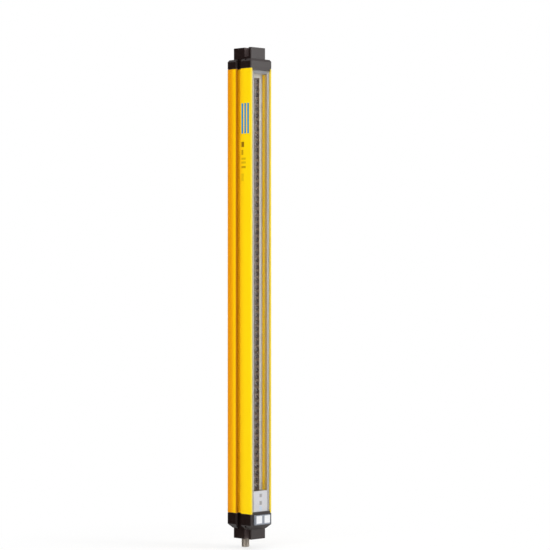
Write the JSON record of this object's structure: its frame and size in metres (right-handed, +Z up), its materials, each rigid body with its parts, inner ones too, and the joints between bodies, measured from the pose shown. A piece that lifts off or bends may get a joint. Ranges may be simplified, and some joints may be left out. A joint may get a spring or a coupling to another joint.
{
  "type": "safety light curtain",
  "caption": "Upright bar of a safety light curtain: yellow extruded housing, clear front window over a lens row, black end caps, status display and round plug connector.",
  "frame": {"origin": "centre of the housing's cross-section at the end face of the lower boss", "axes": "+Z up along the housing, -Y out of the optical window, +X across the window to the right as seen from the front"},
  "size_m": [0.042, 0.054, 0.728],
  "materials": {
    "yellow_paint": "powder-coated aluminium extrusion",
    "clear_window": "clear acrylic",
    "grey_seal": "grey foam seal",
    "black_plastic": "fine-textured black moulding",
    "black_rubber": "rubber sheet",
    "screw_steel": "zinc-plated steel",
    "carrier_plastic": "light grey moulding",
    "smoked_lens": "smoked acrylic",
    "circuit_board": "solder mask",
    "component_black": "moulded component",
    "socket_plastic": "moulded socket",
    "spring_bronze": "spring bronze strip",
    "display_diffuser": "translucent white plastic",
    "ribbon_film": "flat ribbon cable",
    "nickel_brass": "nickel-plated brass",
    "gold_contact": "gold-plated contact"
  },
  "bodies": {
    "root": {"housing_profile": "yellow_paint", "front_window": "clear_window", "window_seal": "grey_seal", "upper_end_cap": "black_plastic", "lower_end_cap": "black_plastic", "upper_cap_gasket": "black_rubber", "lower_cap_gasket": "black_rubber", "cap_screws": "screw_steel", "optics_carrier_1": "carrier_plastic", "optics_board_1": "circuit_board", "beam_diodes_1": "component_black", "optics_carrier_2": "carrier_plastic", "optics_board_2": "circuit_board", "beam_diodes_2": "component_black", "optics_carrier_3": "carrier_plastic", "optics_board_3": "circuit_board", "beam_diodes_3": "component_black", "optics_carrier_4": "carrier_plastic", "optics_board_4": "circuit_board", "beam_diodes_4": "component_black", "optics_carrier_5": "carrier_plastic", "optics_board_5": "circuit_board", "beam_diodes_5": "component_black", "optics_carrier_6": "carrier_plastic", "optics_board_6": "circuit_board", "beam_diodes_6": "component_black", "lens_strips": "smoked_lens", "board_links": "component_black", "lower_spacer": "carrier_plastic", "upper_spacer": "carrier_plastic", "control_board": "circuit_board", "control_sockets": "socket_plastic", "processor": "component_black", "power_capacitors": "component_black", "earth_spring": "spring_bronze", "display_hood": "display_diffuser", "display_board": "circuit_board", "display_digits": "socket_plastic", "display_ribbon": "ribbon_film", "plug_ribbon": "ribbon_film", "connector_shell": "nickel_brass", "connector_insert": "component_black", "contact_pins": "gold_contact", "connector_seal": "black_rubber", "connector_nut": "nickel_brass", "plug_board": "circuit_board"}
  },
  "joints": []
}
